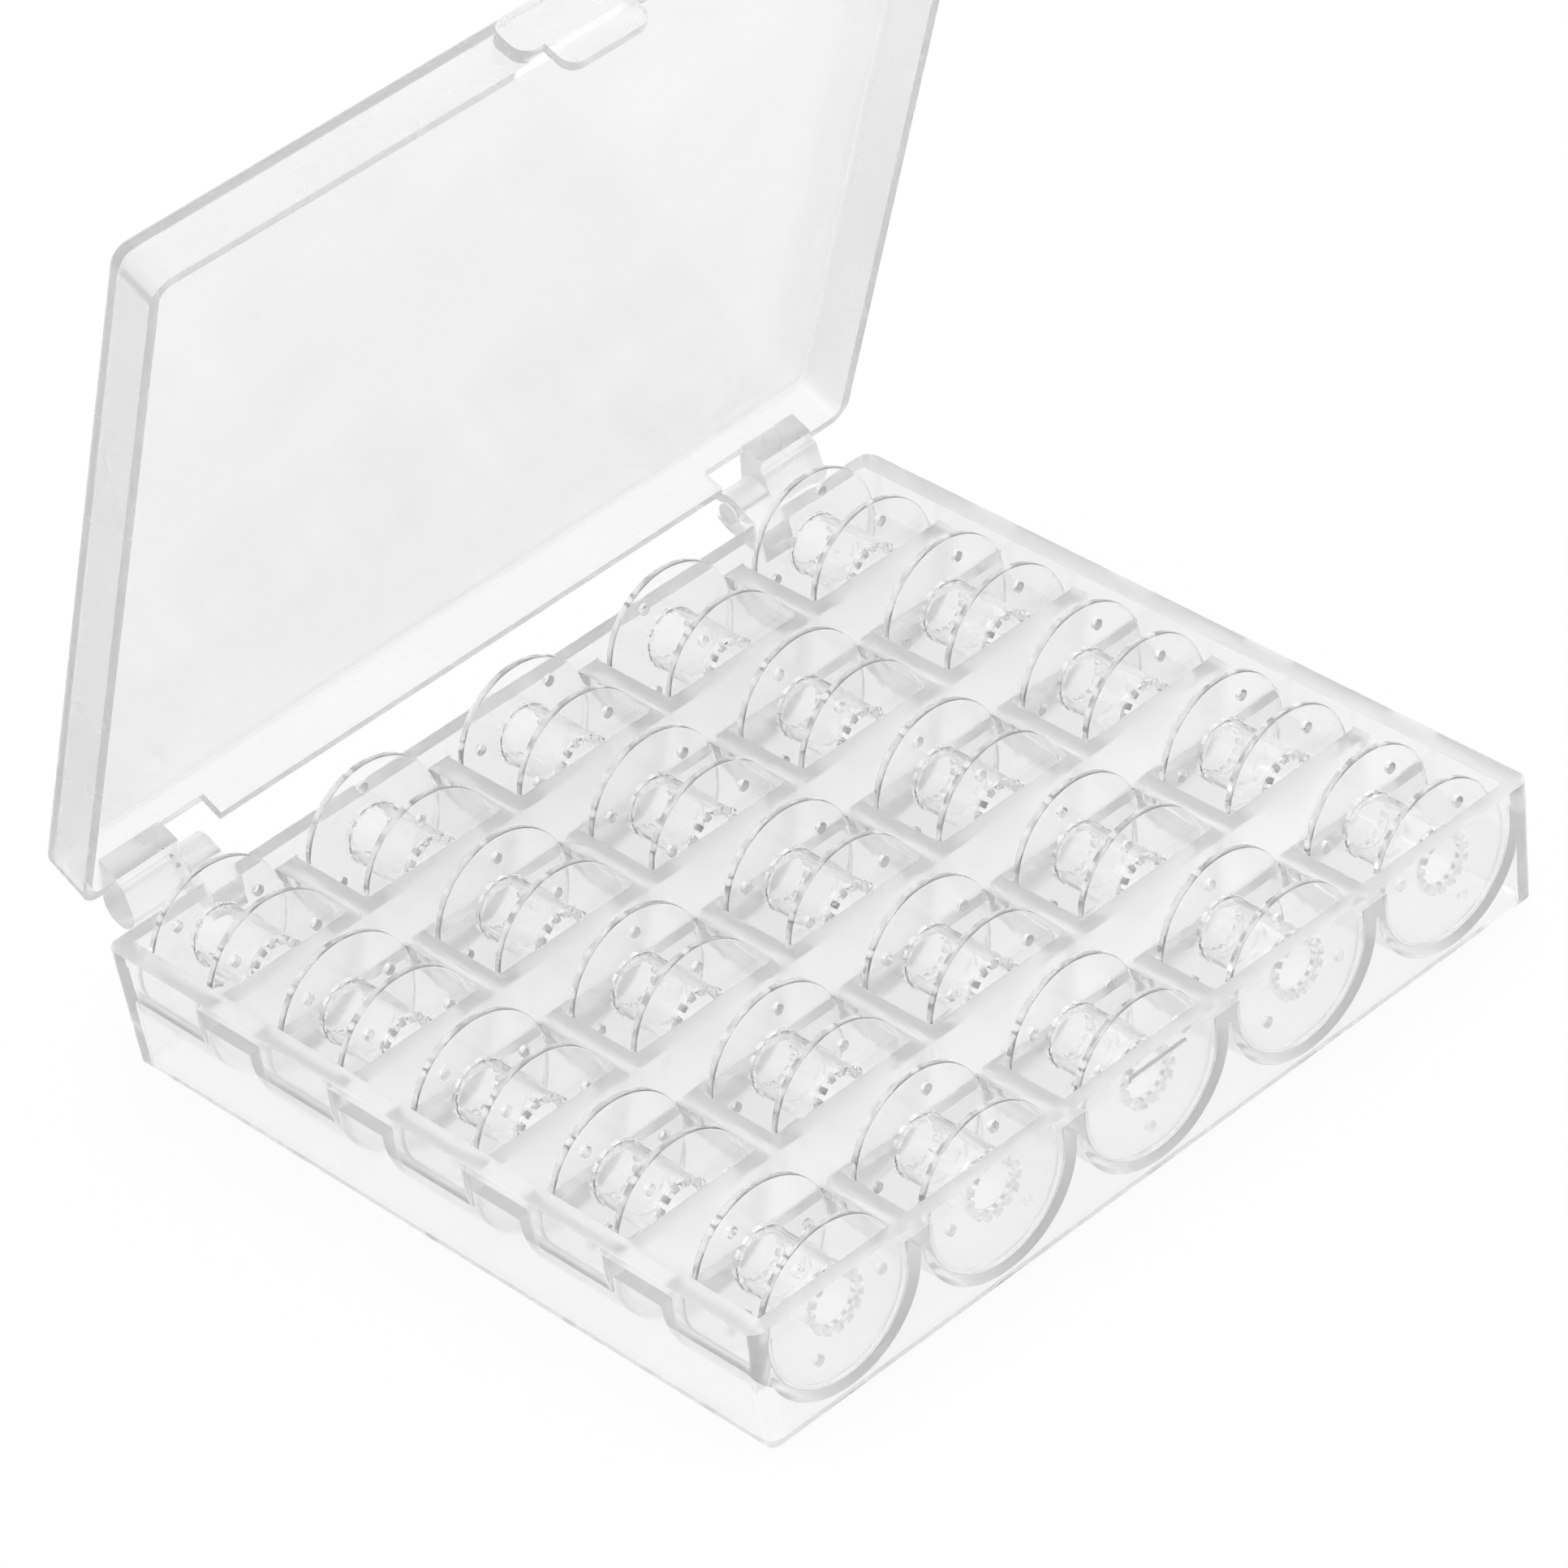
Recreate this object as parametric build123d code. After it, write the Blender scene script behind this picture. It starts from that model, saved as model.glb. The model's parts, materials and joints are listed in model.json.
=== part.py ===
from build123d import *

import math
import os

# A storage box for the bobbins of a sewing machine, moulded in clear plastic: a tray with a
# grid of round-bottomed pockets, one bobbin in each, and a lid on a snap hinge.
#
# Sizes are in millimetres and degrees. The origin is the centre of the plane that the box
# stands on, +Z is up, the hinge runs along X at the back (+Y) and the latch is at the front.

# --- Bobbin: a hub with a flange at each end, lying with its axis along Y -------------------
BOBBIN_DIAMETER = 20.3
BOBBIN_WIDTH = 11.7
FLANGE_THICKNESS = 1.0
HUB_DIAMETER = 8.0
BORE_DIAMETER = 6.1
FLANGE_SIDES = 16  # flats that stand in for a flange's round edge, a multiple of four
HUB_SIDES = 12  # and for the round of the hub and its bore

# --- Pockets ---------------------------------------------------------------------------------
COLUMNS = 5
ROWS = 5
ROUND_CLEARANCE = 0.55  # from a flange's edge to the round of its pocket
FLOOR_CLEARANCE = 0.3  # from a flange's edge to the lowest line of its pocket
END_CLEARANCE = 0.85  # from a flange's face to the end of its pocket, level with the deck
END_DRAFT = 2.0  # lean of the pocket's ends, which makes the floor shorter than the mouth
POCKET_WALL = 1.3
FOOT_GAP = 0.4  # from the plane that the box stands on to the underside of a pocket

# --- Tray ------------------------------------------------------------------------------------
COLUMN_RIB = 3.1  # web between pockets side by side
ROW_BRIDGE = 10.2  # web between pockets end to end
SIDE_BAND = 2.8  # rim beside the outer columns
END_BAND = 2.1  # rim in front of the first row and behind the last
DECK_DROP = 2.5  # from the rim down to the web between the pockets
AXIS_BELOW_RIM = 4.6  # from the rim down to the middle of a pocket's round
SKIRT_WALL = 1.5
SKIRT_DRAFT = 2.4
CORNER_RADIUS = 3.0

# --- Lid -------------------------------------------------------------------------------------
LID_WALL = 1.3
LID_DRAFT = 3.0
HEADROOM = 1.2  # from the top of a bobbin to the closed lid
RIM_GAP = 0.2  # from the rim to the closed lid's edge
LID_EDGE_BEVEL = 0.8  # between the lid's top and its walls
OPEN_ANGLE = 68.0  # the lid stands open by this much

# --- Hinge: round pins on the lid's arms, held in sockets at the back of the tray ------------
HINGE_SETBACK = 4.5  # from the tray's back to the hinge axis
HINGE_DROP = 0.2  # from the rim down to the hinge axis
HINGE_END = 5.8  # from the side of the lid to the outer end of an arm
ARM_LENGTH = 9.0
ARM_HEIGHT = 4.0  # height of the arm's root on the lid's back wall
SOCKET_LENGTH = 4.6
HINGE_SIDE_GAP = 0.3  # between an arm and its socket
ARM_WALL_GAP = 0.3  # between an arm and the tray's back wall
PIN_DIAMETER = 3.0
PIN_CLEARANCE = 0.1  # between the pin and the socket, all round
SOCKET_WALL = 1.2
SOCKET_MOUTH = 2.5  # the pin snaps in through a mouth narrower than itself
BRACKET_DROP = 5.2  # the bracket's root reaches this far below the hinge axis
NOTCH_DEPTH = 3.3  # cut in the lid's back wall over each socket
NOTCH_GAP = 1.8  # from the socket to the side of the notch

# --- Latch: a tongue on the lid's front that hooks under a ridge on the tray ------------------
LATCH_WIDTH = 19.0
LATCH_CORNER = 2.0
TONGUE_WIDTH = 12.6
TONGUE_REACH = 4.4  # from the lid's edge to the tongue's tip
TONGUE_THICKNESS = 1.3
TONGUE_GAP = 0.7  # from the tray's front to the tongue
LATCH_TOP_GAP = 1.9  # from the lid's top to the latch's pad
HOOK_HEIGHT = 1.2
HOOK_CLEARANCE = 0.15  # between the hook and the ridge as they pass
RIDGE_PROUD = 0.4
RIDGE_WIDTH = 9.0
RIDGE_BELOW_RIM = 1.6
RIDGE_RADIUS = 0.55

# --- Places worked out from the sizes above ---------------------------------------------------
BOBBIN_RADIUS = BOBBIN_DIAMETER / 2
POCKET_RADIUS = BOBBIN_RADIUS + ROUND_CLEARANCE
POCKET_LENGTH = BOBBIN_WIDTH + 2 * END_CLEARANCE
COLUMN_PITCH = 2 * POCKET_RADIUS + COLUMN_RIB
ROW_PITCH = POCKET_LENGTH + ROW_BRIDGE

RECESS_WIDTH = COLUMNS * COLUMN_PITCH - COLUMN_RIB
RECESS_DEPTH = ROWS * ROW_PITCH - ROW_BRIDGE
BOX_WIDTH = RECESS_WIDTH + 2 * SIDE_BAND
BOX_DEPTH = RECESS_DEPTH + 2 * END_BAND
FRONT = -BOX_DEPTH / 2
BACK = BOX_DEPTH / 2

FLOOR_Z = FOOT_GAP + POCKET_WALL
POCKET_AXIS_Z = FLOOR_Z + POCKET_RADIUS
RIM_Z = POCKET_AXIS_Z + AXIS_BELOW_RIM
DECK_Z = RIM_Z - DECK_DROP
BOBBIN_Z = FLOOR_Z + FLOOR_CLEARANCE + BOBBIN_RADIUS

LID_EDGE_Z = RIM_Z + RIM_GAP
LID_CEILING_Z = BOBBIN_Z + BOBBIN_RADIUS + HEADROOM
LID_TOP_Z = LID_CEILING_Z + LID_WALL

HINGE_Y = BACK + HINGE_SETBACK
HINGE_Z = RIM_Z - HINGE_DROP
HINGE_AXIS = Axis((0, HINGE_Y, HINGE_Z), (1, 0, 0))
SOCKET_BORE_RADIUS = PIN_DIAMETER / 2 + PIN_CLEARANCE
KNUCKLE_RADIUS = SOCKET_BORE_RADIUS + SOCKET_WALL
ARM_START_X = BOX_WIDTH / 2 - HINGE_END  # outer end of the right-hand arm
ARM_END_X = ARM_START_X - ARM_LENGTH
SOCKET_START_X = ARM_END_X - HINGE_SIDE_GAP
SOCKET_END_X = SOCKET_START_X - SOCKET_LENGTH


def skirt_setback(depth_below_rim):
    """How far the drafted skirt leans in at a given depth below the rim."""
    return depth_below_rim * math.tan(math.radians(SKIRT_DRAFT))


def drafted_block(top_outline, top_z, draft_angle):
    """A block that stands on z = 0, whose sides lean in from its top to its foot."""
    return extrude(Plane.XY.offset(top_z) * top_outline, -top_z, taper=draft_angle)


def along_x(profile, start_x, end_x):
    """Extrude a profile drawn in the YZ plane between two places along X."""
    face = Plane.YZ.offset(min(start_x, end_x)) * profile
    return extrude(face, abs(end_x - start_x))


def both_sides(shape):
    """A right-hand shape and its mirror image on the left."""
    return [shape, mirror(shape, about=Plane.YZ)]


# --- Tray ------------------------------------------------------------------------------------
def u_profile(radius, top_z):
    """A round floor with upright sides, drawn in the XZ plane about the pocket's axis."""
    sides = Rectangle(2 * radius, top_z - POCKET_AXIS_Z, align=(Align.CENTER, Align.MIN))
    lower_half = Rectangle(2 * radius, radius, align=(Align.CENTER, Align.MAX))
    return Pos(0, POCKET_AXIS_Z) * ((Circle(radius) & lower_half) + sides)


def pocket_space():
    """The hollow of one pocket, longer at the mouth than at the floor."""
    prism = extrude(Plane.XZ * u_profile(POCKET_RADIUS, RIM_Z), POCKET_LENGTH, both=True)
    lean = (DECK_Z - FLOOR_Z) * math.tan(math.radians(END_DRAFT))
    mouth_half = POCKET_LENGTH / 2
    ends = Polyline(
        (-mouth_half + lean, FLOOR_Z),
        (mouth_half - lean, FLOOR_Z),
        (mouth_half, DECK_Z),
        (mouth_half, RIM_Z),
        (-mouth_half, RIM_Z),
        (-mouth_half, DECK_Z),
        close=True,
    )
    return prism & along_x(make_face(ends), -POCKET_RADIUS, POCKET_RADIUS)


def pocket_shell():
    """The outside of one pocket's round, below the web that carries it."""
    outside = u_profile(POCKET_RADIUS + POCKET_WALL, POCKET_AXIS_Z + POCKET_WALL)
    return extrude(Plane.XZ * outside, POCKET_LENGTH / 2 + POCKET_WALL, both=True)


def hinge_socket():
    """The right-hand socket: an open knuckle on a bracket from the tray's back wall."""
    root_y = BACK - SKIRT_WALL
    root = Line((root_y, HINGE_Z - BRACKET_DROP), (root_y, RIM_Z))
    knuckle = Pos(HINGE_Y, HINGE_Z) * Circle(KNUCKLE_RADIUS)
    outline = make_hull([root, knuckle.edge()])
    bore = Pos(HINGE_Y, HINGE_Z) * Circle(SOCKET_BORE_RADIUS)
    mouth = Pos(HINGE_Y + KNUCKLE_RADIUS, HINGE_Z) * Rectangle(2 * KNUCKLE_RADIUS, SOCKET_MOUTH)
    return along_x(outline - bore - mouth, SOCKET_START_X, SOCKET_END_X)


def catch_ridge():
    """The half-round ridge that the latch's hook snaps under."""
    ridge_y = FRONT + skirt_setback(RIDGE_BELOW_RIM) + RIDGE_RADIUS - RIDGE_PROUD
    section = Pos(ridge_y, RIM_Z - RIDGE_BELOW_RIM) * Circle(RIDGE_RADIUS)
    return along_x(section, -RIDGE_WIDTH / 2, RIDGE_WIDTH / 2)


def tray():
    outline = RectangleRounded(BOX_WIDTH, BOX_DEPTH, CORNER_RADIUS)
    outside = drafted_block(outline, RIM_Z, SKIRT_DRAFT)
    skirt_walls = 2 * (SKIRT_WALL + skirt_setback(AXIS_BELOW_RIM))
    cavity_outline = Rectangle(BOX_WIDTH - skirt_walls, BOX_DEPTH - skirt_walls)
    underside = drafted_block(cavity_outline, POCKET_AXIS_Z, SKIRT_DRAFT)
    recess = Plane.XY.offset(DECK_Z) * Rectangle(RECESS_WIDTH, RECESS_DEPTH)
    grid = GridLocations(COLUMN_PITCH, ROW_PITCH, COLUMNS, ROWS)
    shells = [place * pocket_shell() for place in grid]
    pockets = [place * pocket_space() for place in grid]
    body = outside - underside + shells - extrude(recess, DECK_DROP) - pockets
    return body + catch_ridge() + both_sides(hinge_socket())


# --- Lid, built closed -------------------------------------------------------------------------
def lid_arm():
    """The right-hand arm: from the lid's back wall down and back to the hinge pin."""
    root_y = BACK - LID_WALL / 2
    root = Line((root_y, LID_EDGE_Z), (root_y, LID_EDGE_Z + ARM_HEIGHT))
    knuckle = Pos(HINGE_Y, HINGE_Z) * Circle(KNUCKLE_RADIUS)
    outline = make_hull([root, knuckle.edge()])
    tray_corner = Rectangle(HINGE_SETBACK, HINGE_SETBACK, align=(Align.MAX, Align.MAX))
    outline -= Pos(BACK + ARM_WALL_GAP, LID_EDGE_Z) * tray_corner
    arm = along_x(outline, ARM_START_X, ARM_END_X)
    pin_section = Pos(HINGE_Y, HINGE_Z) * Circle(PIN_DIAMETER / 2)
    pin_end_x = SOCKET_END_X - HINGE_SIDE_GAP
    return arm + along_x(pin_section, ARM_END_X, pin_end_x)


def hinge_notch():
    """The space cut from the lid's back wall over the right-hand socket."""
    inner_x = SOCKET_END_X - NOTCH_GAP
    through_wall = 4 * LID_WALL
    corner = (Align.MIN, Align.CENTER, Align.CENTER)
    cutter = Box(ARM_END_X - inner_x, through_wall, 2 * NOTCH_DEPTH, align=corner)
    return Pos(inner_x, BACK, LID_EDGE_Z) * cutter


def latch():
    """A raised pad on the lid's front wall, with the tongue and its hook below it."""
    inner_y = FRONT - TONGUE_GAP
    outer_y = inner_y - TONGUE_THICKNESS
    tip_z = LID_EDGE_Z - TONGUE_REACH
    pad_height = LID_TOP_Z - LATCH_TOP_GAP - LID_EDGE_Z
    tongue_height = TONGUE_REACH + LATCH_CORNER
    standing = (Align.CENTER, Align.MIN)
    pad_outline = RectangleRounded(LATCH_WIDTH, pad_height, LATCH_CORNER, align=standing)
    tongue_outline = RectangleRounded(TONGUE_WIDTH, tongue_height, LATCH_CORNER, align=standing)
    outer_plane = Plane.XZ.offset(-outer_y)
    pad_depth = FRONT + LID_WALL / 2 - outer_y
    pad = extrude(outer_plane * (Pos(0, LID_EDGE_Z) * pad_outline), -pad_depth)
    tongue = extrude(outer_plane * (Pos(0, tip_z) * tongue_outline), -TONGUE_THICKNESS)
    hook_y = inner_y + TONGUE_GAP - RIDGE_PROUD - HOOK_CLEARANCE
    hook = Polyline(
        (inner_y, tip_z),
        (hook_y, tip_z + HOOK_HEIGHT / 2),
        (hook_y, tip_z + HOOK_HEIGHT),
        (inner_y, tip_z + 1.5 * HOOK_HEIGHT),
        close=True,
    )
    return pad + tongue + along_x(make_face(hook), -RIDGE_WIDTH / 2, RIDGE_WIDTH / 2)


def lid_box(wall, height):
    """A block with rounded corners that narrows upwards from the lid's edge."""
    outline = RectangleRounded(BOX_WIDTH - 2 * wall, BOX_DEPTH - 2 * wall, CORNER_RADIUS - wall)
    return extrude(Plane.XY.offset(LID_EDGE_Z) * outline, height, taper=LID_DRAFT)


def lid():
    block = lid_box(0, LID_TOP_Z - LID_EDGE_Z)
    outside = chamfer(block.faces().sort_by(Axis.Z)[-1].edges(), LID_EDGE_BEVEL)
    hollow = lid_box(LID_WALL, LID_CEILING_Z - LID_EDGE_Z)
    arms = both_sides(lid_arm())
    notches = both_sides(hinge_notch())
    closed = outside - hollow - notches + arms + latch()
    return closed.rotate(HINGE_AXIS, -OPEN_ANGLE)


# --- Bobbins -----------------------------------------------------------------------------------
def disc(diameter, sides, thickness, middle_y):
    """A many-sided disc square to the Y axis, standing on one of its corners."""
    outline = Plane.XZ.offset(-middle_y) * RegularPolygon(diameter / 2, sides)
    return extrude(outline, thickness / 2, both=True)


def bobbin():
    """One bobbin on the Y axis: a hub between two flanges, with a bore right through."""
    flange_y = (BOBBIN_WIDTH - FLANGE_THICKNESS) / 2
    front_flange = disc(BOBBIN_DIAMETER, FLANGE_SIDES, FLANGE_THICKNESS, -flange_y)
    back_flange = disc(BOBBIN_DIAMETER, FLANGE_SIDES, FLANGE_THICKNESS, flange_y)
    hub = disc(HUB_DIAMETER, HUB_SIDES, BOBBIN_WIDTH, 0)
    bore = disc(BORE_DIAMETER, HUB_SIDES, BOBBIN_WIDTH, 0)
    return front_flange + back_flange + hub - bore


def bobbin_places():
    """Each bobbin's name and place, counted from the front left."""
    for row in range(ROWS):
        for column in range(COLUMNS):
            x = (column - (COLUMNS - 1) / 2) * COLUMN_PITCH
            y = (row - (ROWS - 1) / 2) * ROW_PITCH
            yield f"bobbin_r{row + 1}_c{column + 1}", Pos(x, y, BOBBIN_Z)


def main():
    os.makedirs("parts", exist_ok=True)
    nodes = {"tray": tray(), "lid": lid()}
    for name, place in bobbin_places():
        nodes[name] = place * bobbin()
    for name, shape in nodes.items():
        export_step(shape, f"parts/{name}.step")


main()
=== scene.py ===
import json
import math

import bmesh
import bpy
from mathutils import Matrix, Vector
from mathutils.geometry import convex_hull_2d


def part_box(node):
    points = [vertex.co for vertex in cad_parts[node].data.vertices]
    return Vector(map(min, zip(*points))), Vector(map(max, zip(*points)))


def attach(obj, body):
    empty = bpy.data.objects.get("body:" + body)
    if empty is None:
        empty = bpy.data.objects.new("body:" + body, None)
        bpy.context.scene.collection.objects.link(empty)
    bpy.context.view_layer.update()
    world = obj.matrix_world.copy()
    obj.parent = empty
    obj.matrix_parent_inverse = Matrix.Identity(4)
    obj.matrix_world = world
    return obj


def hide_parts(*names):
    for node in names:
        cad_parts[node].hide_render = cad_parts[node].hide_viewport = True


# A storage box for sewing-machine bobbins in clear plastic, open, on a white table. Each piece is
# a finer mesh of its solid. It adds what the solid leaves out: round edges and flanges, the bores'
# teeth and the thread holes. The tray's upright corners are also sharper than the solid's.
#
# Sizes are in millimetres and degrees unless a name says otherwise, and MM turns them into metres.
# Each piece is built where its CAD node rests. The lid is built shut and then turned open.

MM = 0.001

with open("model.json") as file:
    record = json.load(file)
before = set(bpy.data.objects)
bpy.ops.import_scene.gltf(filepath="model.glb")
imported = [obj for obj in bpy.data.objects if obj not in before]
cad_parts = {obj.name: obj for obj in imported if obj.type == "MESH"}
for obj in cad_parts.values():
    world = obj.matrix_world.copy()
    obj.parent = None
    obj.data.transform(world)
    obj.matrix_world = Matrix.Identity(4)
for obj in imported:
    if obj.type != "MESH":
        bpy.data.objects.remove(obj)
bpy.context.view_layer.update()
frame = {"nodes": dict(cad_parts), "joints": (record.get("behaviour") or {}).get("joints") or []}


def node_box(node):
    """The lowest and highest corner of a CAD node, in millimetres."""
    low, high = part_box(node)
    return low / MM, high / MM


def node_centre(node):
    low, high = node_box(node)
    return (low + high) / 2


# --- Sizes that the frame gives -----------------------------------------------------------------
BOBBIN_NAMES = sorted(name for name in frame["nodes"] if name.startswith("bobbin"))
BOBBIN_LOW, BOBBIN_HIGH = node_box("bobbin_r1_c1")
BOBBIN_RADIUS = (BOBBIN_HIGH.x - BOBBIN_LOW.x) / 2
BOBBIN_HALF_WIDTH = (BOBBIN_HIGH.y - BOBBIN_LOW.y) / 2
BOX_WIDTH = node_box("tray")[1].x * 2

HINGE = next(joint for joint in frame["joints"] if joint["name"] == "lid_hinge")
HINGE_PLACE = Vector(HINGE["pos_m"]) / MM
OPEN_ANGLE = -HINGE["range_deg"][0]

# --- Sizes of the mouldings ---------------------------------------------------------------------
HINGE_SETBACK = 4.5
HINGE_DROP = 0.2
BACK = HINGE_PLACE.y - HINGE_SETBACK
FRONT = -BACK
BOX_DEPTH = BACK - FRONT
RIM_Z = HINGE_PLACE.z + HINGE_DROP
DECK_DEPTH = 2.5
DECK_Z = RIM_Z - DECK_DEPTH
POCKET_AXIS_DEPTH = 4.6
POCKET_AXIS_Z = RIM_Z - POCKET_AXIS_DEPTH
BOBBIN_SIDE_GAP = 0.55
BOBBIN_END_GAP = 0.85
POCKET_RADIUS = BOBBIN_RADIUS + BOBBIN_SIDE_GAP
POCKET_HALF_LENGTH = BOBBIN_HALF_WIDTH + BOBBIN_END_GAP
POCKET_WALL = 1.3
POCKET_END_DRAFT = 2.0
POCKET_FILLET = 0.7
POCKET_TOP_PAST = 0.02  # how far the pockets' cut runs above the deck
SHELL_OVERLAP = 1.0  # how far the pockets' shells run up into the deck
SKIRT_WALL = 1.5
SKIRT_DRAFT = 2.4
TRAY_CORNER = 1.8  # the solid's is 3.0
UNDERSIDE_CORNER = 1.4
SIDE_BAND = 2.8
END_BAND = 2.1
RIDGE_WIDTH = 9.0
RIDGE_RADIUS = 0.55
RIDGE_DEPTH = 1.6
RIDGE_Z = RIM_Z - RIDGE_DEPTH
RIDGE_PROUD = 0.4

LID_WALL = 1.3
LID_DRAFT = 3.0
LID_CORNER = 3.0
LID_GAP = 0.2
LID_HEIGHT = 7.6
LID_EDGE_Z = RIM_Z + LID_GAP
LID_TOP_Z = LID_EDGE_Z + LID_HEIGHT
LID_CEILING_Z = LID_TOP_Z - LID_WALL
LID_ROUND = 1.2  # the solid has a bevel here
LID_FILLET = 0.6

KNUCKLE_RADIUS = 2.8
BORE_RADIUS = 1.6
PIN_RADIUS = 1.5
ARM_X = (47.7, 56.7)
SOCKET_X = (42.8, 47.4)
PIN_END_X = 42.5
NOTCH_X = (41.0, 47.7)
NOTCH_DEPTH = 3.3
SOCKET_MOUTH = 2.5
BRACKET_DROP = 5.2
ARM_HEIGHT = 4.0
ARM_WALL_GAP = 0.3
ARM_CUT_DEPTH = 4.0

LATCH_WIDTH = 19.0
TONGUE_WIDTH = 12.6
LATCH_CORNER = 2.0
TONGUE_REACH = 4.4
TONGUE_GAP = 0.7
TONGUE_THICKNESS = 1.3
LATCH_TOP_DEPTH = 1.9
LATCH_TOP_Z = LID_TOP_Z - LATCH_TOP_DEPTH
HOOK_HEIGHT = 1.2
HOOK_REACH = 0.15
HOOK_LOW = 0.3  # from the tongue's tip up to the hook

FLANGE_THICKNESS = 1.0
FLANGE_ROUND = 0.25
HUB_RADIUS = 4.0
HUB_FILLET = 0.3
BOBBIN_BORE = 3.05
TOOTH_RING_RADIUS = 4.2
TOOTH_DEPTH = 1.0
TEETH = 14
TOOTH_WIDTH = 0.8
THREAD_HOLES = 3
THREAD_HOLE_RADIUS = 0.75
THREAD_HOLE_PLACE = 7.1
BOBBIN_TURN_STEP = 47.0  # each bobbin lies turned this much further than the one before it

ROUND_STEPS = 10  # flats in a quarter of a corner's round
CIRCLE_STEPS = 96
HINGE_STEPS = 48
SMALL_STEPS = 24
LEAST_CORNER = 0.05
EDGE_BEVEL = 0.18
SHARP_ANGLE = 34.0
CUT_PAST = 1.0  # how far a solid that is cut away runs past the faces that it opens
BURY = 0.1  # how far a solid that is joined on runs into the other one

# --- Looks --------------------------------------------------------------------------------------
ACRYLIC_IOR = 1.49
SHADE = 0.96  # light that a surface lets through to its shadow
SATIN_SHADE_DROP = 0.3
SATIN_SHADE_Z = DECK_Z - SATIN_SHADE_DROP  # the tray's deck and rim are satin with painted shade where they face up, from here up
SATIN_SHADE_FADE = 0.25
FACES_UP = (0.7, 0.95)  # from a wall to a face that looks up, as the height of its normal
ON_PLATE = 0.97  # how squarely a face looks along the lid's thickness on its plate
ON_WALL = 0.8  # and on its walls
CLOUD_SCALES = {"tint": 30.0, "roughness": 55.0, "passes": 20.0}
CLOUD_DETAIL = 3.0
NOISE_RANGE = (0.3, 0.7)  # where most of a noise's values lie
RIPPLE_SCALE = 90.0
RIPPLE_DETAIL = 2.0

# --- Studio, in metres --------------------------------------------------------------------------
CAMERA_PLACE = (-0.4454, -0.5677, 0.5644)
CAMERA_AXES = (
    (0.72064, -0.68159, -0.12698),
    (0.48654, 0.36669, 0.79298),
    (-0.49392, -0.63323, 0.59587),
)
CAMERA_LENS = 178.2  # the lens and the sensor are in millimetres
SENSOR = 36.0
NEAREST = 0.01
FARTHEST = 20.0
WORLD_LIGHT = 0.84
HORIZON_LEVEL = 0.77  # the plastic mirrors a darker band round the room, which draws its edges
HORIZON_TOP = 0.5  # the band's height, as the sine of its angle
LAMP_SIZE = 1.2
LAMPS = {"key": ((-0.6, -0.5, 1.6), 7.0), "fill": ((1.0, 0.4, 1.4), 3.5)}  # place and watts
FLOOR_SIZE = 6000.0  # the floor's sizes are in millimetres
FLOOR_TOP = -0.2
FLOOR_BOTTOM = -5.0
FLOOR_WHITE = 0.95
FLOOR_ROUGHNESS = 0.9
FLOOR_GLOW = 0.75


# --- Solids -------------------------------------------------------------------------------------
def circle(radius, centre=(0.0, 0.0), steps=CIRCLE_STEPS):
    """Points round a circle."""
    angles = [math.tau * step / steps for step in range(steps)]
    return [(centre[0] + radius * math.cos(a), centre[1] + radius * math.sin(a)) for a in angles]


def rounded_rectangle(width, depth, radius):
    """Points round a rectangle that has round corners."""
    points = []
    for corner, (side_x, side_y) in enumerate(((1, 1), (-1, 1), (-1, -1), (1, -1))):
        for step in range(ROUND_STEPS + 1):
            angle = math.pi / 2 * (corner + step / ROUND_STEPS)
            x = side_x * (width / 2 - radius) + radius * math.cos(angle)
            y = side_y * (depth / 2 - radius) + radius * math.sin(angle)
            points.append((x, y))
    return points


def solid(rings, places=((0.0, 0.0, 0.0),)):
    """A closed mesh through rings of points, with its ends capped, at each of the places."""
    bm = bmesh.new()
    for place in map(Vector, places):
        loops = [[bm.verts.new((Vector(point) + place) * MM) for point in ring] for ring in rings]
        for low, high in zip(loops, loops[1:]):
            for index in range(len(low)):
                after = (index + 1) % len(low)
                bm.faces.new((low[index], low[after], high[after], high[index]))
        bm.faces.new(loops[0])
        bm.faces.new(loops[-1])
    bmesh.ops.recalc_face_normals(bm, faces=bm.faces)
    mesh = bpy.data.meshes.new("solid")
    bm.to_mesh(mesh)
    bm.free()
    made = bpy.data.objects.new("solid", mesh)
    bpy.context.scene.collection.objects.link(made)
    return made


def upright(outline, low_z, high_z, places=((0.0, 0.0, 0.0),)):
    """A block with an outline in the XY plane."""
    return solid([[(x, y, z) for x, y in outline] for z in (low_z, high_z)], places)


def along_x(outline, start_x, end_x):
    """A bar with an outline in the YZ plane."""
    return solid([[(x, y, z) for y, z in outline] for x in (start_x, end_x)])


def along_y(outline, start_y, end_y, places=((0.0, 0.0, 0.0),)):
    """A bar with an outline in the XZ plane."""
    return solid([[(x, y, z) for x, z in outline] for y in (start_y, end_y)], places)


def rectangle(low, high):
    """Points round a rectangle between two corners."""
    return [(low[0], low[1]), (high[0], low[1]), (high[0], high[1]), (low[0], high[1])]


def hull(points):
    """The points of a convex outline round all the points."""
    return [points[index] for index in convex_hull_2d(points)]


def applied(piece):
    """Turn the result of a piece's modifiers into its mesh."""
    bpy.context.view_layer.update()
    shown = piece.evaluated_get(bpy.context.evaluated_depsgraph_get())
    mesh = bpy.data.meshes.new_from_object(shown)
    piece.modifiers.clear()
    piece.data = mesh
    return piece


def combine(piece, other, operation):
    """Join another solid to a piece, or cut it away, and use the other one up."""
    modifier = piece.modifiers.new("combine", "BOOLEAN")
    modifier.operation = operation
    modifier.solver = "MANIFOLD"
    modifier.object = other
    applied(piece)
    bpy.data.objects.remove(other)
    return piece


def join(piece, *others):
    for other in others:
        combine(piece, other, "UNION")
    return piece


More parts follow.
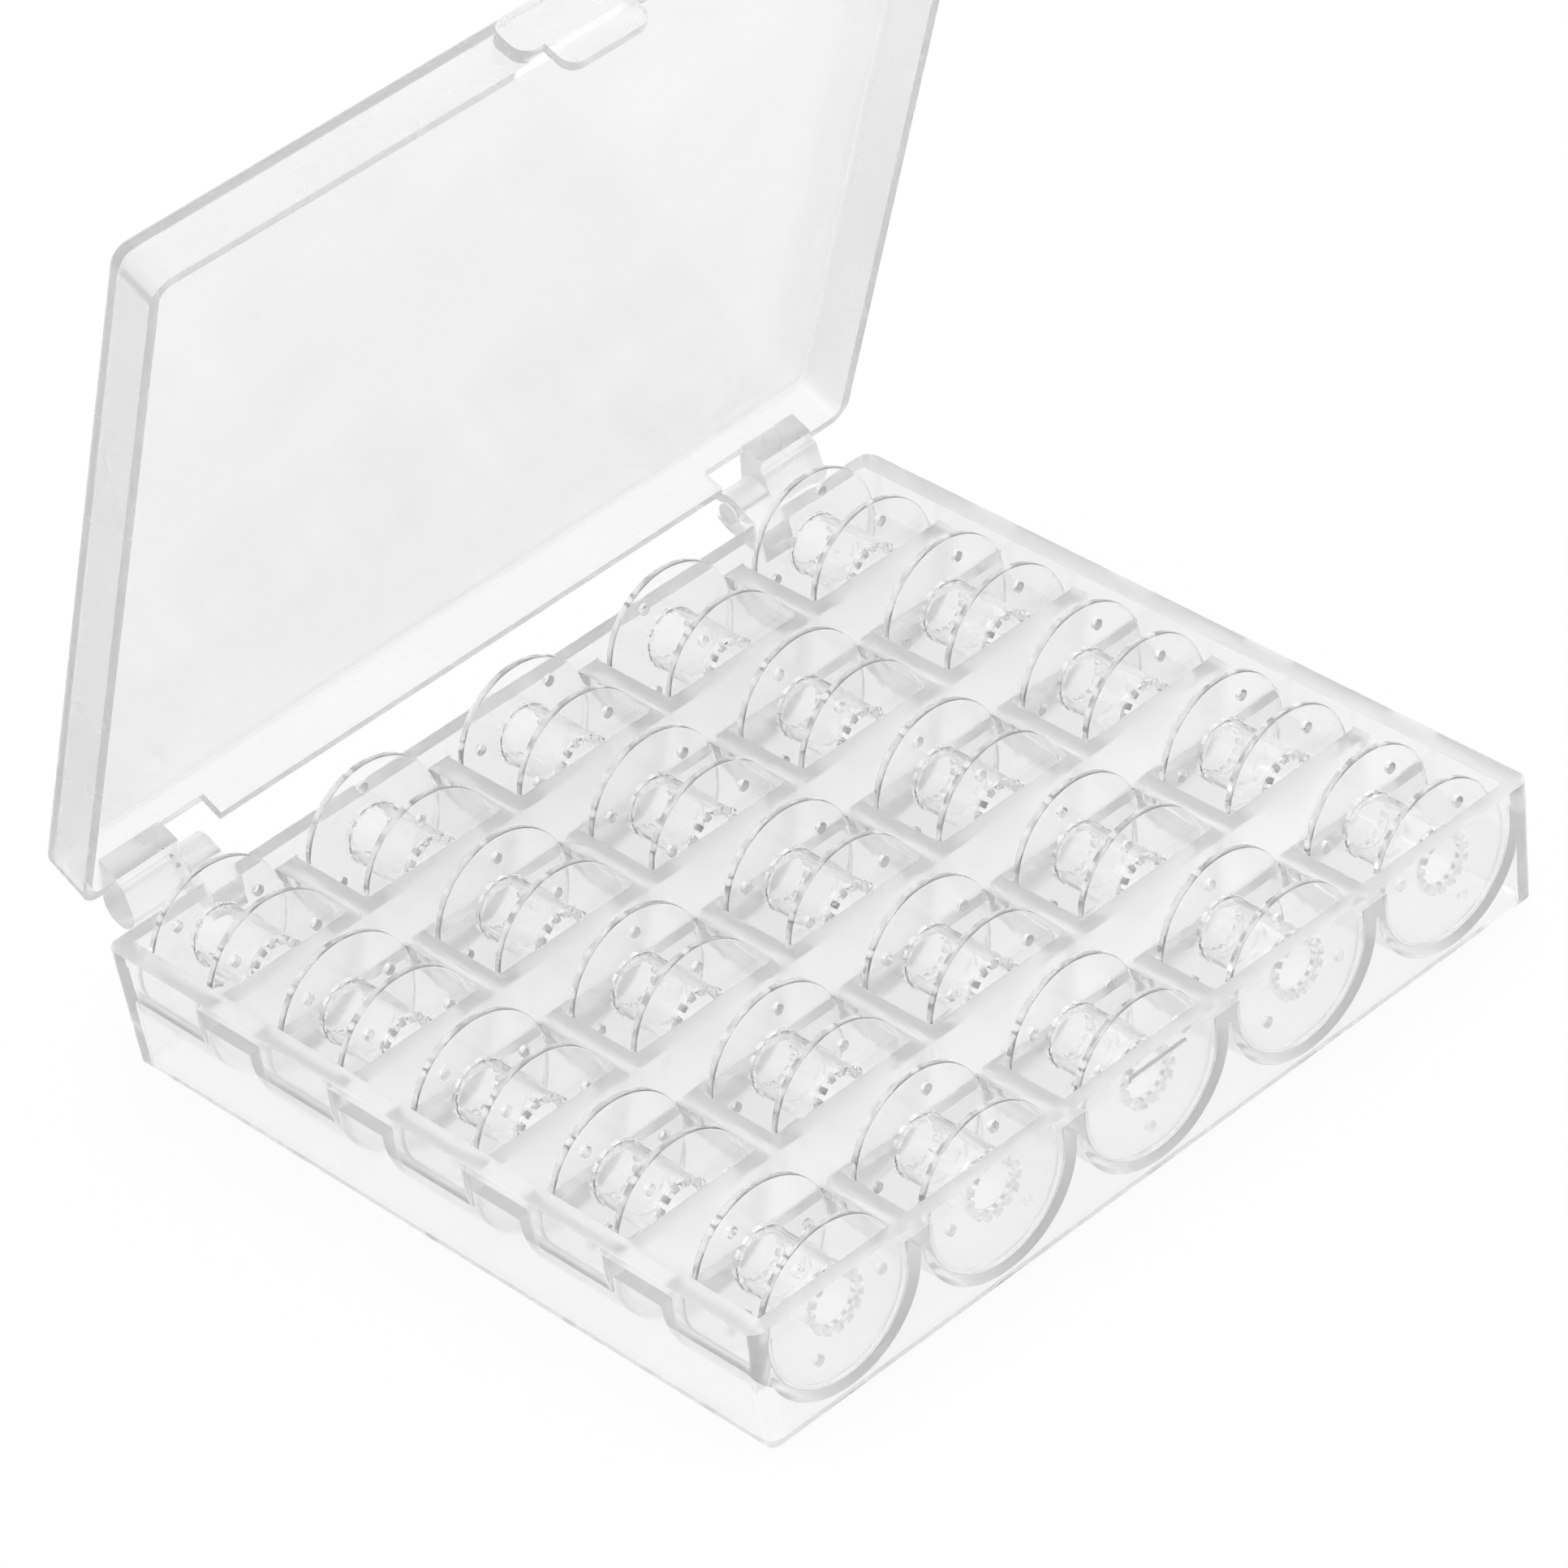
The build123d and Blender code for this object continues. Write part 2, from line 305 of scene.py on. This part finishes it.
def cut(piece, *others):
    for other in others:
        combine(piece, other, "DIFFERENCE")
    return piece


def soften(piece, width):
    """Round a piece's sharp edges a little and shade its curves smoothly."""
    bevel = piece.modifiers.new("bevel", "BEVEL")
    bevel.width = width * MM
    bevel.segments = 2
    bevel.limit_method = "ANGLE"
    bevel.angle_limit = math.radians(SHARP_ANGLE)
    bevel.use_clamp_overlap = True
    applied(piece)
    piece.data.shade_smooth()
    piece.data.set_sharp_from_angle(angle=math.radians(SHARP_ANGLE))
    weighted = piece.modifiers.new("weighted", "WEIGHTED_NORMAL")
    weighted.keep_sharp = True
    return applied(piece)


def quarter(radius):
    """How far a round edge of that radius has come in, and how far up, at steps along it."""
    for step in range(ROUND_STEPS + 1):
        angle = math.pi / 2 * step / ROUND_STEPS
        yield radius * (1 - math.cos(angle)), radius * math.sin(angle)


def tapered_block(inset, low_z, high_z, draft_from_z, draft, corner, top_round=0.0):
    """A block inside the box's outline, which leans in by the draft away from draft_from_z."""

    def ring(z, more_inset):
        lean = abs(z - draft_from_z) * math.tan(math.radians(draft))
        all_inset = inset + lean + more_inset
        radius = max(corner - lean - more_inset, LEAST_CORNER)
        outline = rounded_rectangle(BOX_WIDTH - 2 * all_inset, BOX_DEPTH - 2 * all_inset, radius)
        return [(x, y, z) for x, y in outline]

    rings = [ring(low_z, 0.0)]
    if top_round:
        rings += [ring(high_z - top_round + up, inwards) for inwards, up in quarter(top_round)]
    else:
        rings.append(ring(high_z, 0.0))
    return solid(rings)


# --- Tray ---------------------------------------------------------------------------------------
def pocket_places():
    """Where the bobbins' middles are, seen from above."""
    return [(centre.x, centre.y, 0.0) for centre in map(node_centre, BOBBIN_NAMES)]


def trough(radius, half_length, top_z, fillet, draft):
    """A U-shaped trough along Y, with fillets at its ends, at the place of each pocket."""

    def ring(side, less_radius, less_length):
        at_radius = radius - less_radius
        points = [(-at_radius, top_z)]
        for step in range(4 * ROUND_STEPS + 1):
            angle = math.pi * (1 + step / (4 * ROUND_STEPS))
            points.append((at_radius * math.cos(angle), POCKET_AXIS_Z + at_radius * math.sin(angle)))
        points.append((at_radius, top_z))
        lean = math.tan(math.radians(draft))
        ends = [half_length - less_length - (DECK_Z - z) * lean for _, z in points]
        return [(x, side * end, z) for (x, z), end in zip(points, ends)]

    steps = [(fillet - up, inwards) for inwards, up in quarter(fillet)]
    rings = [ring(-1, *step) for step in steps] + [ring(1, *step) for step in reversed(steps)]
    return solid(rings, pocket_places())


def knuckle_outline(root_y, root_low_z, root_high_z):
    """From a wall out to the round that holds the hinge pin, in the YZ plane."""
    points = circle(KNUCKLE_RADIUS, (HINGE_PLACE.y, HINGE_PLACE.z), HINGE_STEPS)
    return hull(points + [(root_y, root_low_z), (root_y, root_high_z)])


def hinge_socket(side):
    """The open knuckle on a bracket from the tray's back wall."""
    low_x, high_x = sorted(side * x for x in SOCKET_X)
    outline = knuckle_outline(BACK - SKIRT_WALL / 2, HINGE_PLACE.z - BRACKET_DROP, RIM_Z)
    bore = circle(BORE_RADIUS, (HINGE_PLACE.y, HINGE_PLACE.z), HINGE_STEPS)
    mouth_low = (HINGE_PLACE.y, HINGE_PLACE.z - SOCKET_MOUTH / 2)
    mouth_high = (HINGE_PLACE.y + 2 * KNUCKLE_RADIUS, HINGE_PLACE.z + SOCKET_MOUTH / 2)
    bore_bar = along_x(bore, low_x - CUT_PAST, high_x + CUT_PAST)
    mouth_bar = along_x(rectangle(mouth_low, mouth_high), low_x - CUT_PAST, high_x + CUT_PAST)
    return cut(along_x(outline, low_x, high_x), bore_bar, mouth_bar)


def catch_ridge():
    """The ridge on the tray's front that the latch snaps over."""
    lean = (RIM_Z - RIDGE_Z) * math.tan(math.radians(SKIRT_DRAFT))
    centre = (FRONT + lean + RIDGE_RADIUS - RIDGE_PROUD, RIDGE_Z)
    section = circle(RIDGE_RADIUS, centre, SMALL_STEPS)
    return along_x(section, -RIDGE_WIDTH / 2, RIDGE_WIDTH / 2)


def make_tray():
    tray = tapered_block(0.0, 0.0, RIM_Z, RIM_Z, SKIRT_DRAFT, TRAY_CORNER)
    lean = (RIM_Z - POCKET_AXIS_Z) * math.tan(math.radians(SKIRT_DRAFT))
    underside = tapered_block(
        SKIRT_WALL + lean, -CUT_PAST, POCKET_AXIS_Z, POCKET_AXIS_Z, SKIRT_DRAFT, UNDERSIDE_CORNER
    )
    shell_length = POCKET_HALF_LENGTH + POCKET_WALL
    shell_top_z = POCKET_AXIS_Z + SHELL_OVERLAP
    shells = trough(POCKET_RADIUS + POCKET_WALL, shell_length, shell_top_z, POCKET_FILLET, 0.0)
    recess_half = (BOX_WIDTH / 2 - SIDE_BAND, BOX_DEPTH / 2 - END_BAND)
    recess_outline = rectangle((-recess_half[0], -recess_half[1]), recess_half)
    recess = upright(recess_outline, DECK_Z, RIM_Z + CUT_PAST)
    pocket_top_z = DECK_Z + POCKET_TOP_PAST
    pockets = trough(POCKET_RADIUS, POCKET_HALF_LENGTH, pocket_top_z, POCKET_FILLET, POCKET_END_DRAFT)
    cut(tray, underside)
    join(tray, shells)
    cut(tray, recess, pockets)
    join(tray, catch_ridge(), hinge_socket(-1), hinge_socket(1))
    return soften(tray, EDGE_BEVEL)


# --- Lid ----------------------------------------------------------------------------------------
def lid_arm(side):
    """An arm from the lid's back wall to the hinge, with the pin on its inner end."""
    low_x, high_x = sorted(side * x for x in ARM_X)
    outline = knuckle_outline(BACK - LID_WALL / 2, LID_EDGE_Z, LID_EDGE_Z + ARM_HEIGHT)
    arm = along_x(outline, low_x, high_x)
    corner_low = (BACK - HINGE_SETBACK, LID_EDGE_Z - ARM_CUT_DEPTH)
    tray_corner = rectangle(corner_low, (BACK + ARM_WALL_GAP, LID_EDGE_Z))
    cut(arm, along_x(tray_corner, low_x - CUT_PAST, high_x + CUT_PAST))
    pin = circle(PIN_RADIUS, (HINGE_PLACE.y, HINGE_PLACE.z), HINGE_STEPS)
    pin_low, pin_high = sorted(side * x for x in (PIN_END_X, sum(ARM_X) / 2))
    return join(arm, along_x(pin, pin_low, pin_high))


def hinge_notch(side):
    """The space in the lid's back wall over a socket."""
    low_x, high_x = sorted(side * x for x in NOTCH_X)
    low = (BACK - 2 * LID_WALL, LID_EDGE_Z - CUT_PAST)
    high = (BACK + CUT_PAST, LID_EDGE_Z + NOTCH_DEPTH)
    return along_x(rectangle(low, high), low_x, high_x)


def latch_plate(width, low_z, high_z, inner_y, outer_y):
    """A plate with round corners on the lid's front."""
    outline = rounded_rectangle(width, high_z - low_z, LATCH_CORNER)
    return along_y([(x, z + (low_z + high_z) / 2) for x, z in outline], outer_y, inner_y)


def latch_hook(inner_y, tip_z):
    """The small wedge inside the tongue's tip."""
    hook_y = FRONT - RIDGE_PROUD - HOOK_REACH
    outline = [
        (inner_y - BURY, tip_z + HOOK_LOW),
        (inner_y, tip_z + HOOK_LOW),
        (hook_y, tip_z + HOOK_HEIGHT / 2),
        (hook_y, tip_z + HOOK_HEIGHT),
        (inner_y, tip_z + 1.5 * HOOK_HEIGHT),
        (inner_y - BURY, tip_z + 1.5 * HOOK_HEIGHT),
    ]
    return along_x(outline, -RIDGE_WIDTH / 2, RIDGE_WIDTH / 2)


def make_lid():
    lid = tapered_block(
        0.0, LID_EDGE_Z, LID_TOP_Z, LID_EDGE_Z, LID_DRAFT, LID_CORNER, top_round=LID_ROUND
    )
    hollow = tapered_block(
        LID_WALL, LID_EDGE_Z - CUT_PAST, LID_CEILING_Z, LID_EDGE_Z, LID_DRAFT, LID_CORNER - LID_WALL,
        top_round=LID_FILLET,
    )
    inner_y = FRONT - TONGUE_GAP
    outer_y = inner_y - TONGUE_THICKNESS
    tip_z = LID_EDGE_Z - TONGUE_REACH
    pad = latch_plate(LATCH_WIDTH, LID_EDGE_Z, LATCH_TOP_Z, FRONT + LID_WALL / 2, outer_y)
    tongue = latch_plate(TONGUE_WIDTH, tip_z, LID_EDGE_Z + LATCH_CORNER, inner_y, outer_y)
    cut(lid, hollow, hinge_notch(-1), hinge_notch(1))
    join(lid, pad, tongue, latch_hook(inner_y, tip_z), lid_arm(-1), lid_arm(1))
    soften(lid, EDGE_BEVEL)
    place = Matrix.Translation(HINGE_PLACE * MM)
    turn = Matrix.Rotation(math.radians(-OPEN_ANGLE), 4, "X")
    lid.data.transform(place @ turn @ place.inverted())
    return lid


# --- Bobbins ------------------------------------------------------------------------------------
def bobbin_section():
    """The half section of a bobbin that turns about its axis: radius and place along the axis."""
    half = BOBBIN_HALF_WIDTH
    flange_inside = half - FLANGE_THICKNESS
    right = [(BOBBIN_BORE, half - TOOTH_DEPTH), (TOOTH_RING_RADIUS, half - TOOTH_DEPTH)]
    right.append((TOOTH_RING_RADIUS, half))
    for inwards, up in quarter(FLANGE_ROUND):
        right.append((BOBBIN_RADIUS - FLANGE_ROUND + up, half - inwards))
    for inwards, up in reversed(list(quarter(FLANGE_ROUND))):
        right.append((BOBBIN_RADIUS - FLANGE_ROUND + up, flange_inside + inwards))
    for inwards, up in quarter(HUB_FILLET):
        right.append((HUB_RADIUS + HUB_FILLET - up, flange_inside - inwards))
    left = [(radius, -place) for radius, place in reversed(right)]
    return right + left


def revolved(section):
    """A solid of revolution about Y from a closed section beside the axis."""
    bm = bmesh.new()
    rings = []
    for step in range(CIRCLE_STEPS):
        angle = math.tau * step / CIRCLE_STEPS
        points = [(r * math.cos(angle), y, r * math.sin(angle)) for r, y in section]
        rings.append([bm.verts.new(Vector(point) * MM) for point in points])
    for ring, after in zip(rings, rings[1:] + rings[:1]):
        for index in range(len(section)):
            beside = (index + 1) % len(section)
            bm.faces.new((ring[index], ring[beside], after[beside], after[index]))
    bmesh.ops.recalc_face_normals(bm, faces=bm.faces)
    mesh = bpy.data.meshes.new("bobbin")
    bm.to_mesh(mesh)
    bm.free()
    made = bpy.data.objects.new("bobbin", mesh)
    bpy.context.scene.collection.objects.link(made)
    return made


def turned(points, angle):
    """Points in the XZ plane, turned about Y."""
    spin = Matrix.Rotation(angle, 2)
    return [tuple(spin @ Vector(point)) for point in points]


def make_bobbin():
    bobbin = revolved(bobbin_section())
    for hole in range(THREAD_HOLES):
        outline = circle(THREAD_HOLE_RADIUS, (THREAD_HOLE_PLACE, 0.0), SMALL_STEPS)
        outline = turned(outline, math.tau * hole / THREAD_HOLES)
        reach = BOBBIN_HALF_WIDTH + CUT_PAST
        cut(bobbin, along_y(outline, -reach, reach))
    for side in (-1, 1):
        for tooth in range(TEETH):
            low = (BOBBIN_BORE + BURY, -TOOTH_WIDTH / 2)
            high = (TOOTH_RING_RADIUS + BURY, TOOTH_WIDTH / 2)
            outline = turned(rectangle(low, high), math.tau * tooth / TEETH)
            root_y = BOBBIN_HALF_WIDTH - TOOTH_DEPTH - BURY
            ends = sorted(side * y for y in (root_y, BOBBIN_HALF_WIDTH))
            join(bobbin, along_y(outline, *ends))
    bobbin.data.shade_smooth()
    bobbin.data.set_sharp_from_angle(angle=math.radians(SHARP_ANGLE))
    return bobbin


def place_bobbins(bobbin, material):
    """One copy of the bobbin for each CAD bobbin, each turned by its own angle."""
    for index, name in enumerate(BOBBIN_NAMES):
        mesh = bobbin.data.copy()
        mesh.transform(Matrix.Rotation(math.radians(BOBBIN_TURN_STEP * index), 4, "Y"))
        copy = bpy.data.objects.new("clear_" + name, mesh)
        bpy.context.scene.collection.objects.link(copy)
        copy.location = node_centre(name) * MM
        finish_piece(copy, name, material)
    bpy.data.objects.remove(bobbin)


# --- Materials ----------------------------------------------------------------------------------
def noise(tree, coordinates, scale, detail):
    texture = tree.nodes.new("ShaderNodeTexNoise")
    texture.inputs["Scale"].default_value = scale
    texture.inputs["Detail"].default_value = detail
    tree.links.new(coordinates, texture.inputs["Vector"])
    return texture.outputs["Fac"]


def spread(tree, value, low, high):
    """Map the middle of a noise's values to a range."""
    mapping = tree.nodes.new("ShaderNodeMapRange")
    mapping.inputs["From Min"].default_value = NOISE_RANGE[0]
    mapping.inputs["From Max"].default_value = NOISE_RANGE[1]
    mapping.inputs["To Min"].default_value = low
    mapping.inputs["To Max"].default_value = high
    tree.links.new(value, mapping.inputs["Value"])
    return mapping.outputs["Result"]


def step_in_z(tree, coordinates, low, high):
    """0 where the coordinates' Z is under the low value, and 1 where it is over the high one."""
    parts = tree.nodes.new("ShaderNodeSeparateXYZ")
    tree.links.new(coordinates, parts.inputs["Vector"])
    mapping = tree.nodes.new("ShaderNodeMapRange")
    mapping.inputs["From Min"].default_value = low
    mapping.inputs["From Max"].default_value = high
    tree.links.new(parts.outputs["Z"], mapping.inputs["Value"])
    return mapping.outputs["Result"]


def shaded_deck_and_rim(tree):
    """1 on the tray's deck and rim, which get satin and painted shade, and 0 on its walls and in its
    pockets.
    """
    coordinates = tree.nodes.new("ShaderNodeTexCoord")
    high = step_in_z(tree, coordinates.outputs["Object"], SATIN_SHADE_Z * MM, (SATIN_SHADE_Z + SATIN_SHADE_FADE) * MM)
    faces_up = step_in_z(tree, coordinates.outputs["Normal"], *FACES_UP)
    both = tree.nodes.new("ShaderNodeMath")
    both.operation = "MULTIPLY"
    tree.links.new(high, both.inputs[0])
    tree.links.new(faces_up, both.inputs[1])
    return both.outputs["Value"]


def shaded_lid_walls(tree):
    """0 on the lid's plate and 1 on its walls, which get painted shade, by the way that the surface
    faces.
    """
    across = Matrix.Rotation(math.radians(-OPEN_ANGLE), 3, "X") @ Vector((0.0, 0.0, 1.0))
    facing = tree.nodes.new("ShaderNodeVectorMath")
    facing.operation = "DOT_PRODUCT"
    tree.links.new(tree.nodes.new("ShaderNodeTexCoord").outputs["Normal"], facing.inputs[0])
    facing.inputs[1].default_value = across
    size = tree.nodes.new("ShaderNodeMath")
    size.operation = "ABSOLUTE"
    tree.links.new(facing.outputs["Value"], size.inputs[0])
    mapping = tree.nodes.new("ShaderNodeMapRange")
    mapping.inputs["From Min"].default_value = ON_PLATE
    mapping.inputs["From Max"].default_value = ON_WALL
    tree.links.new(size.outputs["Value"], mapping.inputs["Value"])
    return mapping.outputs["Result"]


def blended(tree, factor, clear, satin_and_shade):
    """Go from the clear value to the satin and painted-shade one by the factor."""
    mix = tree.nodes.new("ShaderNodeMix")
    tree.links.new(factor, mix.inputs["Factor"])
    tree.links.new(clear, mix.inputs["A"])
    tree.links.new(satin_and_shade, mix.inputs["B"])
    return mix.outputs["Result"]


def clear_plastic(name, clear, absorption, ripple, satin_and_shade=None, satin_and_shade_share=None):
    """Clear moulded plastic, a little milky: tint, roughness and milk each have a range of values."""
    material = bpy.data.materials.new(name)
    material.use_nodes = True
    tree = material.node_tree
    shader = tree.nodes["Principled BSDF"]
    output = tree.nodes["Material Output"]
    coordinates = tree.nodes.new("ShaderNodeTexCoord").outputs["Object"]
    shader.inputs["IOR"].default_value = ACRYLIC_IOR

    values = {}
    for kind, scale in CLOUD_SCALES.items():
        cloud = noise(tree, coordinates, scale, CLOUD_DETAIL)
        values[kind] = spread(tree, cloud, *clear[kind])
        # Where the share is 1, the satin values take over: rougher, and a darker tint that is painted
        # shade.
        if satin_and_shade:
            dull_and_shaded = spread(tree, cloud, *satin_and_shade[kind])
            values[kind] = blended(tree, satin_and_shade_share(tree), values[kind], dull_and_shaded)
    colour = tree.nodes.new("ShaderNodeCombineColor")
    for channel in ("Red", "Green", "Blue"):
        tree.links.new(values["tint"], colour.inputs[channel])
    tree.links.new(colour.outputs["Color"], shader.inputs["Base Color"])
    tree.links.new(values["roughness"], shader.inputs["Roughness"])
    tree.links.new(values["passes"], shader.inputs["Transmission Weight"])
    bump = tree.nodes.new("ShaderNodeBump")
    bump.inputs["Distance"].default_value = ripple * MM
    tree.links.new(noise(tree, coordinates, RIPPLE_SCALE, RIPPLE_DETAIL), bump.inputs["Height"])
    tree.links.new(bump.outputs["Normal"], shader.inputs["Normal"])

    volume = tree.nodes.new("ShaderNodeVolumeAbsorption")
    volume.inputs["Color"].default_value = (0.0, 0.0, 0.0, 1.0)
    volume.inputs["Density"].default_value = absorption
    tree.links.new(volume.outputs["Volume"], output.inputs["Volume"])

    shade = tree.nodes.new("ShaderNodeBsdfTransparent")
    shade.inputs["Color"].default_value = (SHADE, SHADE, SHADE, 1.0)
    shadow_rays = tree.nodes.new("ShaderNodeLightPath").outputs["Is Shadow Ray"]
    mix = tree.nodes.new("ShaderNodeMixShader")
    tree.links.new(shadow_rays, mix.inputs["Fac"])
    tree.links.new(shader.outputs["BSDF"], mix.inputs[1])
    tree.links.new(shade.outputs["BSDF"], mix.inputs[2])
    tree.links.new(mix.outputs["Shader"], output.inputs["Surface"])
    return material


def tray_plastic():
    clear = {"tint": (0.99, 0.998), "roughness": (0.08, 0.14), "passes": (0.82, 0.87)}
    # The deck's and rim's satin: rougher and milkier, with a darker tint that is painted shade.
    satin_and_shade = {"tint": (0.965, 0.985), "roughness": (0.28, 0.38), "passes": (0.62, 0.7)}
    return clear_plastic("tray_clear", clear, 2.0, 0.02, satin_and_shade, shaded_deck_and_rim)


def lid_plastic():
    clear = {"tint": (0.965, 0.98), "roughness": (0.16, 0.2), "passes": (0.88, 0.92)}
    # On the walls: rougher, with a darker tint that is painted shade.
    satin_and_shade = {"tint": (0.915, 0.935), "roughness": (0.24, 0.3), "passes": (0.86, 0.9)}
    return clear_plastic("lid_clear", clear, 1.5, 0.02, satin_and_shade, shaded_lid_walls)


def bobbin_plastic():
    clear = {"tint": (0.99, 0.998), "roughness": (0.03, 0.06), "passes": (0.93, 0.96)}
    return clear_plastic("bobbin_clear", clear, 3.0, 0.01)


def finish_piece(piece, node, material):
    """Give a piece its material, and put it in the place of its CAD node."""
    piece.data.materials.clear()
    piece.data.materials.append(material)
    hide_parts(node)
    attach(piece, node)


# --- Studio -------------------------------------------------------------------------------------
def add_camera():
    data = bpy.data.cameras.new("camera")
    data.lens = CAMERA_LENS
    data.sensor_width = SENSOR
    data.clip_start = NEAREST
    data.clip_end = FARTHEST
    camera = bpy.data.objects.new("camera", data)
    bpy.context.scene.collection.objects.link(camera)
    axes = Matrix([Vector(axis) for axis in CAMERA_AXES]).transposed().to_4x4()
    camera.matrix_world = Matrix.Translation(CAMERA_PLACE) @ axes
    bpy.context.scene.camera = camera


def larger_of(tree, first, second):
    larger = tree.nodes.new("ShaderNodeMath")
    larger.operation = "MAXIMUM"
    tree.links.new(first, larger.inputs[0])
    tree.links.new(second, larger.inputs[1])
    return larger.outputs["Value"]


def seen_in_plastic(tree):
    """1 for what the plastic mirrors or lets through, and 0 for other light."""
    path = tree.nodes.new("ShaderNodeLightPath")
    return larger_of(tree, path.outputs["Is Glossy Ray"], path.outputs["Is Transmission Ray"])


def seen_by_camera(tree):
    return tree.nodes.new("ShaderNodeLightPath").outputs["Is Camera Ray"]


def add_world():
    world = bpy.data.worlds.new("studio")
    bpy.context.scene.world = world
    world.use_nodes = True
    tree = world.node_tree
    background = tree.nodes["Background"]
    background.inputs["Color"].default_value = (1.0, 1.0, 1.0, 1.0)
    direction = tree.nodes.new("ShaderNodeSeparateXYZ")
    tree.links.new(tree.nodes.new("ShaderNodeTexCoord").outputs["Generated"], direction.inputs["Vector"])
    band = tree.nodes.new("ShaderNodeMapRange")
    band.interpolation_type = "SMOOTHSTEP"
    band.inputs["From Max"].default_value = HORIZON_TOP
    band.inputs["To Min"].default_value = HORIZON_LEVEL
    tree.links.new(direction.outputs["Z"], band.inputs["Value"])
    level = tree.nodes.new("ShaderNodeMix")
    level.inputs["A"].default_value = WORLD_LIGHT
    tree.links.new(seen_in_plastic(tree), level.inputs["Factor"])
    tree.links.new(band.outputs["Result"], level.inputs["B"])
    strength = larger_of(tree, level.outputs["Result"], seen_by_camera(tree))
    tree.links.new(strength, background.inputs["Strength"])


def add_floor():
    half = FLOOR_SIZE / 2
    floor = upright(rectangle((-half, -half), (half, half)), FLOOR_BOTTOM, FLOOR_TOP)
    floor.name = "floor"
    material = bpy.data.materials.new("floor")
    material.use_nodes = True
    tree = material.node_tree
    shader = tree.nodes["Principled BSDF"]
    shader.inputs["Base Color"].default_value = (FLOOR_WHITE, FLOOR_WHITE, FLOOR_WHITE, 1.0)
    shader.inputs["Roughness"].default_value = FLOOR_ROUGHNESS
    shader.inputs["Specular IOR Level"].default_value = 0.0
    glow = tree.nodes.new("ShaderNodeEmission")
    glow.inputs["Strength"].default_value = 1.0
    share = tree.nodes.new("ShaderNodeMath")
    share.operation = "MULTIPLY"
    seen = larger_of(tree, seen_in_plastic(tree), seen_by_camera(tree))
    tree.links.new(seen, share.inputs[0])
    share.inputs[1].default_value = FLOOR_GLOW
    mix = tree.nodes.new("ShaderNodeMixShader")
    tree.links.new(share.outputs["Value"], mix.inputs["Fac"])
    tree.links.new(shader.outputs["BSDF"], mix.inputs[1])
    tree.links.new(glow.outputs["Emission"], mix.inputs[2])
    tree.links.new(mix.outputs["Shader"], tree.nodes["Material Output"].inputs["Surface"])
    floor.data.materials.append(material)


def add_lamp(name, place, power):
    """A soft square lamp that points at the box."""
    data = bpy.data.lights.new(name, "AREA")
    data.shape = "SQUARE"
    data.size = LAMP_SIZE
    data.energy = power
    lamp = bpy.data.objects.new(name, data)
    bpy.context.scene.collection.objects.link(lamp)
    lamp.location = place
    lamp.rotation_euler = (-Vector(place)).to_track_quat("-Z", "Y").to_euler()


def main():
    add_camera()
    add_world()
    add_floor()
    for name, (place, power) in LAMPS.items():
        add_lamp(name, place, power)

    tray = make_tray()
    tray.name = "clear_tray"
    finish_piece(tray, "tray", tray_plastic())
    lid = make_lid()
    lid.name = "clear_lid"
    finish_piece(lid, "lid", lid_plastic())
    place_bobbins(make_bobbin(), bobbin_plastic())


main()

scene = bpy.context.scene
scene.view_settings.view_transform = "Standard"
scene.cycles.max_bounces = 32
scene.cycles.transmission_bounces = 32
scene.cycles.glossy_bounces = 16
scene.cycles.transparent_max_bounces = 64
